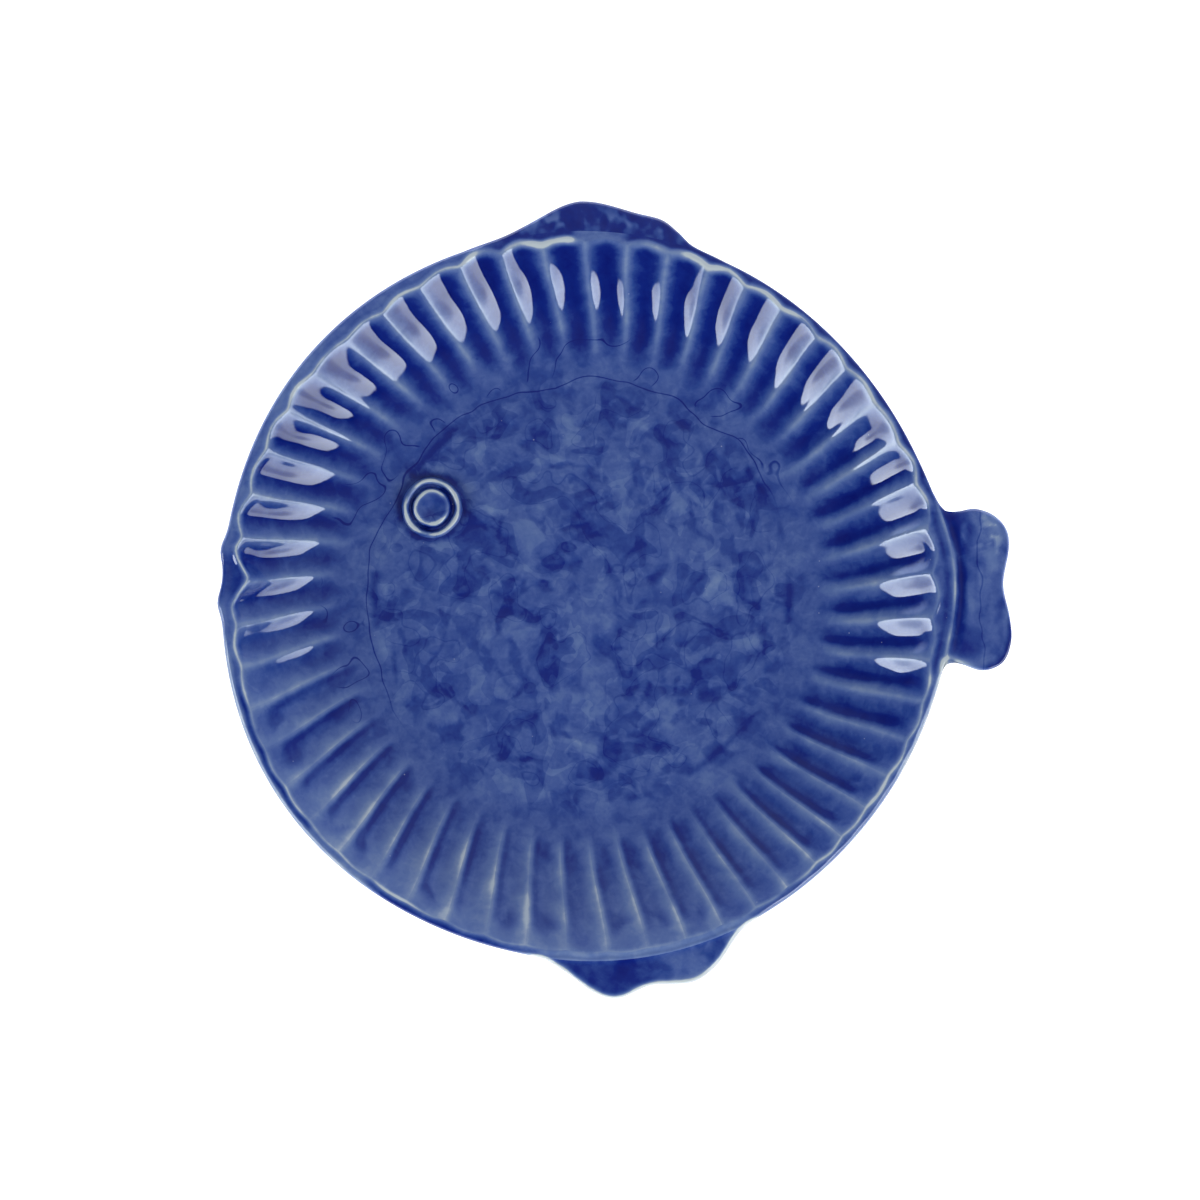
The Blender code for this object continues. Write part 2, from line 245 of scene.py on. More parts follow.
# Rings of the ledge and rows of a fin, as shares of the way out, closer together at the edge
LEDGE_SHARES = (0.0, 0.08, 0.16, 0.25, 0.34, 0.44, 0.54, 0.64, 0.72)
LEDGE_SHARES += (0.79, 0.85, 0.90, 0.94, 0.97, 0.985, 0.995, 1.0)
FIN_SHARES = (0.0, 0.06, 0.12, 0.18, 0.25, 0.32, 0.40, 0.48, 0.56, 0.64)
FIN_SHARES += (0.71, 0.77, 0.82, 0.865, 0.90, 0.93, 0.955, 0.975, 0.99, 1.0)
UNDER_RADII = (0.0625, 0.056, 0.048, 0.040, 0.031, 0.022, 0.013, 0.006)

# Photograph: the camera looks straight down
VIEW_WIDTH = 0.3576
VIEW_X = 0.0054
VIEW_Y = -0.0015
CAMERA_HEIGHT = 1.5
SENSOR = 36.0

WALL_RUN = CREST_RADIUS - WELL_RADIUS
WALL_RISE = CREST_HEIGHT + CREST_LIFT - FLOOR_HEIGHT
SWEEP_REACH = math.hypot(WALL_RUN, SWEEP - WALL_RISE)
WALL_SLOPE = math.pi / 2 - math.atan2(SWEEP - WALL_RISE, WALL_RUN) - math.acos(SWEEP / SWEEP_REACH)
WALL_FOOT = WELL_RADIUS + SWEEP * math.sin(WALL_SLOPE)
CREST_ROUND = CREST_LIFT / math.tan(WALL_SLOPE)


def ease(value):
    """Rises smoothly from 0 to 1."""
    value = np.clip(value, 0.0, 1.0)
    return value * value * (3.0 - 2.0 * value)


def rise(value, start, run):
    """0 up to a start, then smoothly up to 1 over a run."""
    return ease((value - start) / run)


def bell(distance, width):
    return np.exp(-((distance / width) ** 2))


def positive(value):
    return np.maximum(value, 0.0)


def waves(angle, terms):
    """Sum of waves round the plate. Each term is a count, a size and a phase in degrees."""
    return sum(size * np.sin(count * angle + math.radians(phase)) for count, size, phase in terms)


def turn_from(angle, centre):
    """Signed turn from a centre angle, within half a turn."""
    return (angle - centre + math.pi) % math.tau - math.pi


def by_angle(angle, table):
    """Value of a table of angles in degrees and values."""
    return np.interp(np.degrees(angle) % 360.0, *zip(*table))


def polar(radius, angle):
    return np.stack([radius * np.cos(angle), radius * np.sin(angle)], axis=-1)


def from_point(x, y, place):
    return np.hypot(x - place[0], y - place[1])


def heading(azimuth, elevation):
    """Unit vector towards an azimuth and an elevation in degrees."""
    azimuth = math.radians(azimuth)
    elevation = math.radians(elevation)
    reach = math.cos(elevation)
    return Vector((reach * math.cos(azimuth), reach * math.sin(azimuth), math.sin(elevation)))


def clouds(x, y, size, seed):
    """Smooth noise from -1 to 1, with lumps of about that size."""
    lumps = [noise.noise(Vector((px / size, py / size, seed))) for px, py in zip(x.flat, y.flat)]
    return np.array(lumps).reshape(x.shape)


def smooth_line(points, steps):
    """A line through the points, rounded at each of them."""
    points = np.asarray(points, float)
    before = np.vstack([2 * points[0] - points[1], points])[:-1]
    after = np.vstack([points, 2 * points[-1] - points[-2]])[1:]
    slope = (after - before) / 2
    t = np.linspace(0.0, 1.0, steps, endpoint=False)[:, None]
    made = []
    for start, end, out, back in zip(points[:-1], points[1:], slope[:-1], slope[1:]):
        made.append(
            start * (1 + 2 * t) * (1 - t) ** 2
            + out * t * (1 - t) ** 2
            + end * t**2 * (3 - 2 * t)
            + back * t**2 * (t - 1)
        )
    made.append(points[-1:])
    return np.vstack(made)


def spaced(line, count):
    """The same line with that many points, evenly spaced."""
    length = np.concatenate([[0.0], np.cumsum(np.linalg.norm(np.diff(line, axis=0), axis=1))])
    places = np.linspace(0.0, length[-1], count)
    return np.stack([np.interp(places, length, line[:, axis]) for axis in (0, 1)], axis=-1)


def window(angle, first, last, fade):
    """1 between two angles, fading to 0 beyond them."""
    middle = (first + last) / 2
    return 1.0 - ease((np.abs(turn_from(angle, middle)) - (last - first) / 2) / fade)


def on(angle, stretch):
    """1 on a stretch of the rim, fading to 0 beyond it."""
    return window(angle, *map(math.radians, stretch))


def fin_window(angle, centre, edge):
    first, last = (centre + edge[point][0] / RIM_RADIUS for point in (1, -2))
    return window(angle, first, last, math.radians(3))


def on_dorsal(angle):
    return fin_window(angle, DORSAL_ANGLE, DORSAL_EDGE)


def on_ventral(angle):
    return fin_window(angle, VENTRAL_ANGLE, VENTRAL_EDGE)


def on_tail(angle, fade):
    return window(angle, TAIL_FIRST, TAIL_LAST, math.radians(fade))


# Outline of the rim, fins and tail together
def lips(angle):
    """How far the lips above and below the mouth stand proud of the rim."""
    along = turn_from(angle, MOUTH_ANGLE) * RIM_RADIUS
    return LIP_PROUD * (bell(along - LIP_SPREAD, LIP_WIDTH) + bell(along + LIP_SPREAD, LIP_WIDTH))


def rim_radius(angle):
    """Outer edge of the dish, where fins and tail are luted on."""
    seat = bell(turn_from(angle, TAIL_SEAT_ANGLE), TAIL_SEAT_WIDTH)
    return RIM_RADIUS + waves(angle, RIM_WAVES) + lips(angle) + TAIL_SEAT * seat


def fin_reach(angle, centre, edge):
    line = smooth_line(edge, 12)
    return np.interp(turn_from(angle, centre) * RIM_RADIUS, *line.T, 0.0, 0.0)


def ledge_width(angle):
    line = smooth_line(LEDGE_WIDTHS, 8)
    first = LEDGE_WIDTHS[0][0]
    return np.interp((np.degrees(angle) - first) % 360.0 + first, *line.T)


def make_outline():
    """The rim with its fins, and the tail's free edge, which never runs inside the rim."""
    angle = np.linspace(TAIL_LAST, math.tau + TAIL_FIRST, OUTLINE_STEPS)
    reach = fin_reach(angle, DORSAL_ANGLE, DORSAL_EDGE) + fin_reach(angle, VENTRAL_ANGLE, VENTRAL_EDGE)
    rim = polar(rim_radius(angle) + reach, angle)
    tail = smooth_line([rim[-1], *TAIL_EDGE, rim[0]], 24)
    angle = np.arctan2(tail[:, 1], tail[:, 0])
    return rim, polar(np.maximum(np.hypot(*tail.T), rim_radius(angle)), angle)


RIM_LINE, TAIL_LINE = make_outline()
OUTLINE = np.vstack([RIM_LINE, TAIL_LINE[1:-1]])
OUTLINE_TREE = kdtree.KDTree(len(OUTLINE))
for place, (outline_x, outline_y) in enumerate(OUTLINE):
    OUTLINE_TREE.insert((outline_x, outline_y, 0.0), place)
OUTLINE_TREE.balance()


def edge_distance(x, y):
    """Distance of points on the plate from its outline."""
    points = np.stack([x.ravel(), y.ravel()], axis=-1)
    nearest = np.array([OUTLINE_TREE.find((px, py, 0.0))[1] for px, py in points])
    found = np.full(len(points), 1.0)
    for neighbour in (-1, 1):
        start = OUTLINE[nearest]
        side = OUTLINE[(nearest + neighbour) % len(OUTLINE)] - start
        share = np.clip(((points - start) * side).sum(1) / (side * side).sum(1), 0.0, 1.0)
        found = np.minimum(found, np.linalg.norm(points - start - side * share[:, None], axis=1))
    return found.reshape(x.shape)


# Upper surface
def base_height(radius):
    """Floor, sweep and wall before flutes are pressed in, up to the rounded crest."""
    into_sweep = np.clip(radius - WELL_RADIUS, 0.0, WALL_FOOT - WELL_RADIUS)
    low = FLOOR_HEIGHT + SWEEP - np.sqrt(SWEEP**2 - into_sweep**2)
    inside = positive(CREST_RADIUS - radius)
    high = CREST_HEIGHT - math.tan(WALL_SLOPE) * (np.sqrt(inside**2 + CREST_ROUND**2) - CREST_ROUND)
    return np.where(radius < WALL_FOOT, low, high)


def up_wall(radius):
    return rise(radius, FLUTE_START, CREST_RADIUS - FLUTE_START)


def up_mouth(radius):
    return rise(radius, MOUTH_FOOT, CREST_RADIUS - MOUTH_FOOT)


def flute_depth(radius, angle):
    """How far out the middle of a flute is pressed. Flutes have lost some depth to wear on the lower half."""
    lower = on(angle, LOWER_HALF)
    rising = rise(radius, FLUTE_START, FLUTE_FULL - FLUTE_START)
    fade = by_angle(angle, FLUTE_FADES)
    fading = rise(radius, fade, CREST_RADIUS - fade)
    depth = FLUTE_DEPTH * (1.0 - FLUTE_WEAR * lower)
    scallop = CREST_SCALLOP * (1.0 + waves(angle, CREST_SCALLOP_WAVES)) * (1.0 - CREST_SCALLOP_WEAR * lower)
    return rising * (depth + (scallop - depth) * fading)


def channel(across):
    """Section of a flute, 0 on its rounded ridges and 1 in the middle."""
    side = np.minimum(across, 1.0 - across)
    side = np.sqrt(side**2 + RIDGE_ROUND**2) - RIDGE_ROUND
    return 4.0 * side * (1.0 - side)


def mouth_notch(angle):
    """1 in the middle of the mouth, falling in straight lines to 0 at its corners."""
    along = turn_from(angle, MOUTH_ANGLE) * RIM_RADIUS
    return positive(1.0 - np.sqrt(along**2 + MOUTH_ROUND**2) / MOUTH_HALF)


def wall_move(radius, angle, across, even):
    """How far flutes, mouth and the crest's own course move a ring of the wall outwards."""
    uneven = 1.0 + waves(even, FLUTE_DEPTH_WAVES)
    flutes = flute_depth(radius, angle) * uneven * channel(across)
    scallop = CREST_SCALLOP_MEAN * flute_depth(CREST_RADIUS, angle)
    crest = rim_radius(angle) - lips(angle) - ledge_width(angle) - scallop
    shift = crest - CREST_RADIUS
    return flutes + up_wall(radius) * shift - up_mouth(radius) * MOUTH_DENT * mouth_notch(angle)


def make_strokes():
    """Marks of shaping by hand: place, direction, half length, half width and height of each."""
    chance = random.Random(STROKE_SEED)
    strokes = []
    for _ in range(STROKES):
        radius = STROKE_REACH * math.sqrt(chance.random())
        angle = chance.uniform(0.0, math.tau)
        if radius > STROKE_ROUND:
            along = angle + math.pi / 2 + chance.gauss(0.0, 0.5)
        else:
            along = chance.uniform(0.0, math.pi)
        length = chance.uniform(*STROKE_LENGTHS)
        width = 0.0005 + length * chance.uniform(0.08, 0.24)
        height = chance.choice((-1.0, 1.0)) * chance.uniform(0.5, 1.0)
        strokes.append((radius * math.cos(angle), radius * math.sin(angle), along, length, width, height))
    return strokes


def floor_marks(x, y):
    """Raised and hollow patches and strokes on the floor, from -1 to 1."""
    bend_x = x + 0.0035 * clouds(x, y, 0.009, 3.1) + 0.0008 * clouds(x, y, 0.0026, 4.7)
    bend_y = y + 0.0035 * clouds(x, y, 0.009, 7.7) + 0.0008 * clouds(x, y, 0.0026, 6.3)
    marks = 0.7 * rise(clouds(bend_x, bend_y, 0.0075, 1.3), 0.10, 0.22)
    marks -= 0.8 * rise(clouds(bend_x, bend_y, 0.0062, 9.2), 0.14, 0.13)
    for place_x, place_y, along, length, width, height in make_strokes():
        off_x = bend_x - place_x
        off_y = bend_y - place_y
        ahead = (off_x * math.cos(along) + off_y * math.sin(along)) / length
        aside = (off_y * math.cos(along) - off_x * math.sin(along)) / width
        marks += height * (1.0 - rise(np.hypot(ahead, aside), 0.5, 0.5))
    return np.clip(marks, -1.0, 1.0)


def floor_clouds(x, y):
    """Broad unevenness of floor and wall, from about -1 to 1."""
    bend_x = 0.006 * clouds(x, y, 0.015, 3.1)
    bend_y = 0.006 * clouds(x, y, 0.015, 7.7)
    return clouds(x + bend_x, y + bend_y, 0.0105, 1.3) + 0.4 * clouds(x + bend_y, y + bend_x, 0.0040, 5.2)


def deck_relief(x, y):
    """Lumps of the ledge, fins and tail."""
    return clouds(x, y, 0.0085, 11.3) + 0.5 * clouds(x, y, 0.0036, 2.9)


def deck_height(x, y):
    """Top of the ledge, fins and tail, before it is rounded down at the outline."""
    radius = np.hypot(x, y)
    angle = np.arctan2(y, x)
    past_rim = radius - rim_radius(angle)
    ventral = on_ventral(angle)
    tail = on_tail(angle, 4)
    height = LEDGE_HEIGHT - LEDGE_SLOPE * (radius - CREST_RADIUS)
    height += LOWER_RIGHT_LIFT * on(angle, LOWER_RIGHT)
    height -= VENTRAL_STEP * ventral * rise(past_rim, -0.0006, 0.0016)
    height -= VENTRAL_DROOP * ventral * positive(past_rim)
    height -= MOUTH_HOLLOW * ease(1.6 * mouth_notch(angle)) * bell(past_rim + 0.0028, 0.0022)
    height += TAIL_RIB * on(angle, BEHIND_TAIL) * bell(past_rim + 0.0004, 0.0009)
    height -= TAIL_GROOVE * on(angle, INSIDE_TAIL) * bell(past_rim - 0.0016, TAIL_GROOVE_WIDTH)
    height += TAIL_PILLOW * tail * bell(past_rim - 0.009, 0.006)
    on_fin = rise(past_rim, -0.002, 0.004)
    lumps = 0.00004 + on_fin * (0.00018 * on_dorsal(angle) + 0.00008 * ventral + 0.00012 * tail)
    return height + lumps * deck_relief(x, y)


def edge_drop(distance, x, y):
    """How far the outer edge is rounded down: tightly at the upper right and on the tail's lower tip, and
    hardly in the tail's corners."""
    tail_tip = rise(-y, 0.003, 0.004) * rise(x, 0.119, 0.003)
    tight = np.maximum(on(np.arctan2(y, x), UPPER_RIGHT), tail_tip)
    share = np.clip(1.0 - distance / EDGE_ROUND, 0.0, 1.0)
    drop = EDGE_FALL * (1.0 - np.sqrt(1.0 - share ** (2 + 4 * tight)))
    corners = [bell(from_point(x, y, corner), 0.0035) for corner in TAIL_CORNERS]
    return drop * (1.0 - 0.95 * np.maximum(*corners))


def under_rise(distance):
    share = np.clip(1.0 - distance / UNDER_ROUND, 0.0, 1.0)
    return UNDER_ROUND * (1.0 - np.sqrt(1.0 - share**2))


# Meshes
class Skin:
    """Rings or rows of points that are joined into one mesh, with two values at each point: the glaze's
    thinness, which also carries painted light, and its pooling, which also carries painted shade.
    """

    def __init__(self):
        self.points = np.empty((0, 5))
        self.faces = []

    def add(self, x, y, z, thin_and_lit=0.0, pooled_and_shaded=0.0):
        """Adds points and returns their numbers."""
        columns = np.broadcast_arrays(x + AXIS.x, y + AXIS.y, z, thin_and_lit, pooled_and_shaded)
        count = len(self.points)
        self.points = np.vstack([self.points, np.stack([column.ravel() for column in columns], axis=-1)])
        return np.arange(count, len(self.points))

    def join(self, first, second):
        """Faces between two closed rings, of which one may have twice the points of the other."""
        few, many = sorted((first, second), key=len)
        few_next = np.roll(few, -1)
        if len(few) == len(many):
            made = [(few, many, np.roll(many, -1), few_next)]
        else:
            even = many[::2]
            odd = many[1::2]
            made = [(few, even, odd), (few, odd, few_next), (few_next, odd, np.roll(even, -1))]
        for corners in made:
            self.faces += np.stack(corners, axis=-1).tolist()

    def cap(self, ring, centre, facing_up):
        """Closes a ring with a fan of triangles."""
        following = np.roll(ring, -1)
        pair = (ring, following) if facing_up else (following, ring)
        self.faces += [[centre, a, b] for a, b in zip(*pair)]

    def piece(self, name, node, slot, material):
        """Makes the object that stands for a CAD node."""
        mesh = bpy.data.meshes.new(name)
        mesh.from_pydata(self.points[:, :3].tolist(), [], self.faces)
        for label, values in zip(("thin_and_lit", "pooled_and_shaded"), self.points.T[3:]):
            attribute = mesh.attributes.new(label, "FLOAT", "POINT")
            attribute.data.foreach_set("value", values.astype(np.float32))
        weld(mesh)
        mesh.materials.append(material)
        mesh.shade_smooth()
        mesh.set_sharp_from_angle(angle=SHARP_EDGE)
        made = placed(name, mesh)
        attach(made, "root")
        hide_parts(node)


def placed(name, data):
    """A new object in the scene."""
    made = bpy.data.objects.new(name, data)
    bpy.context.scene.collection.objects.link(made)
    return made


def weld(mesh):
    """Merges points that fall together and turns all faces outwards."""
    made = bmesh.new()
    made.from_mesh(mesh)
    bmesh.ops.remove_doubles(made, verts=made.verts, dist=1e-6)
    bmesh.ops.dissolve_degenerate(made, edges=made.edges, dist=1e-7)
    bmesh.ops.recalc_face_normals(made, faces=made.faces)
    made.to_mesh(mesh)
    made.free()


def flute_columns():
    """Even angle of each column of points and its place across its flute, closer together at the ridges."""
    step = np.arange(FLUTES * FLUTE_COLUMNS) / FLUTE_COLUMNS
    across = step % 1.0
    across = across - RIDGE_CROWDING * np.sin(math.tau * across) / math.tau
    return (np.floor(step) + across) * math.tau / FLUTES, across


def column_angle(even, radius):
    return even + FIRST_FLUTE + waves(even, FLUTE_DRIFT) + FLUTE_LEAN * up_wall(radius)


# Dish, with how far its glaze has thinned and how thick it has pooled, together with painted light and shade
def wall_ring(skin, radius, stride, even, across):
    """One ring of the floor or wall, at a radius before flutes are pressed in."""
    even = even[::stride]
    across = across[::stride]
    angle = column_angle(even, radius)
    x, y = polar(radius + wall_move(radius, angle, across, even), angle).T
    on_floor = 1.0 - 0.6 * rise(radius, 0.060, 0.006) - 0.4 * rise(radius, 0.072, 0.008)
    marks = on_floor * floor_marks(x, y) if on_floor > 0.0 else np.zeros_like(x)
    uneven = floor_clouds(x, y)
    from_eye = from_point(x, y, EYE_PLACE)
    past_eye = from_eye - EYE_RADIUS
    from_crest = CREST_RADIUS - radius
    height = base_height(np.asarray(radius)) + MARK_HEIGHT * marks
    height += (0.45 + 0.55 * on_floor) * CLOUD_HEIGHT * uneven
    height -= MOUTH_SAG * up_mouth(radius) * mouth_notch(angle)
    height += EYE_FILL * bell(from_eye - EYE_VALLEY, 0.0012)
    thin_and_lit, pooled_and_shaded = wall_glaze_and_light(radius, angle, across, from_crest, clouds(x, y, 0.0080, 21.4))
    thin_and_lit = np.maximum(thin_and_lit, crest_thin_and_sheen(from_crest, x, y, angle))
    thin_and_lit += 0.17 * positive(marks) + 0.11 * positive(uneven)
    pooled_and_shaded += 0.9 * bell(positive(past_eye), 0.0012) * rise(past_eye, -0.0015, 0.0015)
    pooled_and_shaded += 0.7 * bell(from_eye - EYE_VALLEY, 0.0014)
    pooled_and_shaded += 0.6 * rise(clouds(x, y, 0.017, 15.5), 0.02, 0.12) * bell(radius - BORDER_RADIUS, 0.0012)
    pooled_and_shaded += 0.38 * positive(-marks) + 0.25 * positive(-uneven)
    return skin.add(x, y, height, thin_and_lit, pooled_and_shaded)


def wall_glaze_and_light(radius, angle, across, from_crest, uneven):
    """Glaze of the wall with painted light and shade: thinned on its ridges and lower half, pooled in flutes
    and in runs beside ridges. The thinning on the lower half is also a painted sheen, and on the lower and
    right walls one side of each flute is painted paler and a band beside each ridge painted darker, together
    with uneven glaze.
    """
    ridge = np.minimum(across, 1.0 - across) * math.tau * radius / FLUTES
    off_ridge = 1.0 - bell(ridge, 0.0010)
    lower = on(angle, LOWER_HALF)
    right = on(angle, RIGHT_WALL)
    pale = lower * (1.0 - on(angle, DARK_RIDGES))
    # Painted light on the lower half: the broad pale halo is kept mostly on the far side of each ridge
    near_side = np.where(across < 0.5, 1.0 - 0.85 * lower, 1.0)
    up_floor = rise(radius, 0.071, 0.006)
    # Thinned glaze and a painted sheen on the lower wall
    wear_and_sheen = bell(turn_from(angle, math.radians(252)), math.radians(56)) * rise(radius, 0.082, 0.019)
    ridges = (0.28 + 0.12 * pale) * bell(ridge, 0.0011 - 0.0001 * lower)
    ridges += (0.15 + 0.04 * lower) * bell(ridge, 0.0026 + 0.0005 * lower) * near_side
    ridges *= 1.0 - 0.5 * pale * rise(radius, 0.086, 0.016)
    thin_and_lit = rise(radius, 0.0685, 0.014) * ridges * (1.0 + 0.35 * lower * uneven)
    thin_and_lit += (0.36 + 0.14 * uneven) * wear_and_sheen
    # Painted light with uneven glaze: on the lower half each flute is paler towards its next ridge
    thin_and_lit += lower * up_floor * (0.15 + 0.08 * uneven) * rise(across, 0.35, 0.5) * off_ridge
    # Painted light on the right wall, beside each ridge
    thin_and_lit += 0.13 * right * up_floor * bell(across - 0.17, 0.12)
    # Gathered glaze and painted shade in the flutes, lessened as painted light on the lower and right walls
    share = by_angle(angle, POOL_AND_SHADE_SHARES)
    share = share + 0.65 * (1.0 - share) * bell(radius - 0.0780, 0.0050) * rise(uneven, -0.25, 0.5)
    blotches = 0.9 * lower * bell(from_crest - 0.007, 0.0035) * rise(uneven, -0.05, 0.25)
    pooled_and_shaded = rise(radius, 0.069, 0.009) * (1.0 - bell(ridge, 0.0032)) * rise(from_crest, 0.0004, 0.0025)
    # Glaze runs and a band of painted shade beside each ridge, on the lower and right walls
    run = by_angle(angle, RUN_AND_SHADE_SHARES) * (1.0 + 0.5 * uneven)
    run *= up_floor * bell(across - 0.19 - 0.23 * right, 0.12) * rise(from_crest, 0.003, 0.005)
    return thin_and_lit, pooled_and_shaded * np.maximum(share, blotches) + run


def crest_thin_and_sheen(distance, x, y, angle):
    """Thinned glaze on the crest, and in a halo beside it that is also a painted highlight, wider and
    stronger on the upper left.
    """
    beside_fin = on(angle, BESIDE_FIN)
    cream = on(angle, UPPER_RIGHT)
    crest_sheen = on(angle, SHEEN_ON_CREST)
    uneven = 0.74 + 0.5 * clouds(x, y, 0.016, 6.1)
    broken = beside_fin * (0.1 + 0.7 * clouds(x, y, 0.007, 3.8))
    core_width = 0.0007 + 0.0007 * beside_fin + 0.0005 * cream
    core = (0.56 - 0.34 * on_ventral(angle) + 0.14 * cream) * bell(distance, core_width)
    halo = (0.30 + 0.12 * crest_sheen) * bell(distance, 0.0024 + 0.0006 * crest_sheen)
    dim = np.maximum(0.7 * on(angle, PLAIN_STRIP), 0.55 * on(angle, BEHIND_TAIL))
    return (uneven + broken) * (1.0 - dim) * (core + halo)


def ledge_ring(skin, share, even, across):
    """One ring outside the crest, at a share of the way to the rim."""
    angle = column_angle(even, CREST_RADIUS)
    crest = CREST_RADIUS + wall_move(CREST_RADIUS, angle, across, even)
    rim = rim_radius(angle)
    radius = crest + share * (rim - crest)
    past = radius - crest
    x, y = polar(radius, angle).T
    distance = edge_distance(x, y)
    deck = deck_height(x, y)
    crest_height = CREST_HEIGHT - MOUTH_SAG * mouth_notch(angle)
    bead = (crest_height - deck) * (1.0 - ease(past / BEAD_RUN))
    height = deck + bead - edge_drop(distance, x, y)
    return skin.add(x, y, height, *ledge_glaze_and_light(x, y, angle, past, radius - rim, distance))


def ledge_glaze_and_light(x, y, angle, past, past_rim, distance):
    """Glaze of the ledge with painted light and shade, by how far a point lies past the crest and past the
    rim.
    """
    shaded = on(angle, UPPER_RIGHT)
    behind = on(angle, BEHIND_TAIL)
    on_flat = ease(past / BEAD_RUN)
    thin_and_lit = crest_thin_and_sheen((1.5 + 0.6 * shaded) * past, x, y, angle)
    for other in (edge_thin_and_highlight(distance, x, y), ledge_thin_and_sheen(angle), rib_thin(past_rim, x, y, behind)):
        thin_and_lit = np.maximum(thin_and_lit, other)
    pooled_and_shaded = 0.15 * bell(past - BEAD_RUN, 0.0006) + 0.6 * shaded * rise(past, 0.0006, 0.0014)
    pooled_and_shaded += 0.6 * behind * bell(past_rim + 0.0026, 0.0010)
    # Painted shade on the ledge at the mouth, where no light is reflected
    pooled_and_shaded += 0.7 * ease(2.0 * mouth_notch(angle)) * on_flat
    pooled_and_shaded += 0.5 * on(angle, DARK_LEDGE) * on_flat
    pooled_and_shaded += 0.6 * on_dorsal(angle) * (1.0 - on(angle, PLAIN_STRIP)) * rise(past, 0.0008, 0.0008)
    # Painted shade in a line beside the crest, on the lower left
    pooled_and_shaded += 0.7 * on(angle, SHADE_BESIDE_CREST) * bell(past - 0.0013, 0.0008)
    return thin_and_lit, pooled_and_shaded


def rib_thin(past_rim, x, y, behind):
    """Thin glaze on the rib along the tail's root."""
    return behind * (0.46 + 0.35 * clouds(x, y, 0.006, 17.2)) * bell(past_rim + 0.0004, 0.0007)


def ledge_thin_and_sheen(angle):
    """Paler flat of the ledge: a painted reflection on the left, strongest near 145 degrees, and paler beside
    the ventral fin, on the strip beside the dorsal fin and behind the tail.
    """
    left = 0.12 * on(angle, SHEEN_ON_LEDGE) + 0.08 * on(angle, MORE_SHEEN_ON_LEDGE)
    left += 0.15 * bell(turn_from(angle, math.radians(145)), math.radians(8))
    others = np.maximum(0.36 * on_ventral(angle), 0.26 * on(angle, PLAIN_STRIP))
    return np.maximum(left, others) + 0.10 * on(angle, BEHIND_TAIL)


def edge_thin_and_highlight(distance, x, y):
    """Thinned glaze on the outer edge, and a painted highlight on it along the lower half of the rim, where
    it faces the softboxes, widest on the lower left and brightest at the tail's lower corner.
    """
    angle = np.arctan2(y, x)
    ventral = on_ventral(angle)
    # Less painted highlight where the edge faces between the two softboxes
    bare = 1.0 - 0.8 * on(angle, DARK_EDGE)
    below_tail = on(angle, BELOW_TAIL)
    lower_left = on(angle, LOWER_LEFT)
    wear_and_sheen = 0.45 * bare + 0.85 * ventral + 0.25 * below_tail + 0.1 * lower_left
    # The painted highlight lies on edges that face the softboxes
    south = ease(0.5 - 1.6 * np.sin(angle))
    wear_and_sheen = 0.04 + wear_and_sheen * south * np.maximum(1.0 - on_tail(angle, 3), below_tail)
    width = 0.0007 + 0.0004 * ventral + 0.0004 * below_tail + 0.0009 * lower_left
    wear_and_sheen *= bell(distance - 0.0003 - 0.0002 * lower_left, width)
    # Painted highlight at the tail's lower corner
    corner_highlight = bell(from_point(x, y, TAIL_CORNERS[0]), 0.0060)
    return np.maximum(wear_and_sheen, 1.1 * corner_highlight * bell(distance - 0.0006, 0.0013))


def under_profile():
    """Radius and height of each ring of the underside."""
    outer_sweep = SWEEP + CLAY
    under_crest = CREST_RADIUS + CLAY * math.sin(WALL_SLOPE)
    under_top = CREST_HEIGHT - CLAY * math.cos(WALL_SLOPE)
    corner = under_crest - (under_top - RIM_BOTTOM) / math.tan(WALL_SLOPE)
    profile = [(corner + out, RIM_BOTTOM - down) for out, down in UNDER_CORNER]
    for slope in np.linspace(WALL_SLOPE, 0.0, 14):
        height = UNDER_HEIGHT + outer_sweep * (1.0 - math.cos(slope))
        profile.append((WELL_RADIUS + outer_sweep * math.sin(slope), height))
    return profile + [(radius, UNDER_HEIGHT) for radius in UNDER_RADII]


def under_rings(skin, even):
    """Outer edge and underside, from the rim to the middle."""
    angle = column_angle(even, CREST_RADIUS)
    rim = rim_radius(angle)
    rings = []
    for turn in np.linspace(0.0, math.pi / 2, 5):
        x, y = polar(rim - UNDER_ROUND * (1.0 - math.cos(turn)), angle).T
        rings.append(skin.add(x, y, RIM_BOTTOM + UNDER_ROUND * (1.0 - math.sin(turn)), 0.15))
    for number, (radius, height) in enumerate(under_profile()):
        stride = 2 if number == 0 else 4
        follow = (rim[::stride] - RIM_RADIUS) * rise(radius, 0.085, 0.02)
        x, y = polar(radius + follow, angle[::stride]).T
        rings.append(skin.add(x, y, height + 0.00015 * clouds(x, y, 0.02, 9.4), 0.0, 0.1))
    return rings


def make_body(material):
    even, across = flute_columns()
    skin = Skin()
    centre = skin.add(0.0, 0.0, FLOOR_HEIGHT)[0]
    rings = []
    for stride, first, last, step in WALL_RINGS:
        for radius in np.arange(first, last, step):
            rings.append(wall_ring(skin, radius, stride, even, across))
    for share in LEDGE_SHARES:
        rings.append(ledge_ring(skin, share, even, across))
    rings += under_rings(skin, even)
    skin.cap(rings[0], centre, True)
    for first, second in zip(rings[:-1], rings[1:]):
        skin.join(first, second)
    skin.cap(rings[-1], skin.add(0.0, 0.0, UNDER_HEIGHT)[0], False)
    skin.piece("glazed_dish", "plate_body", "blue_glaze", material)


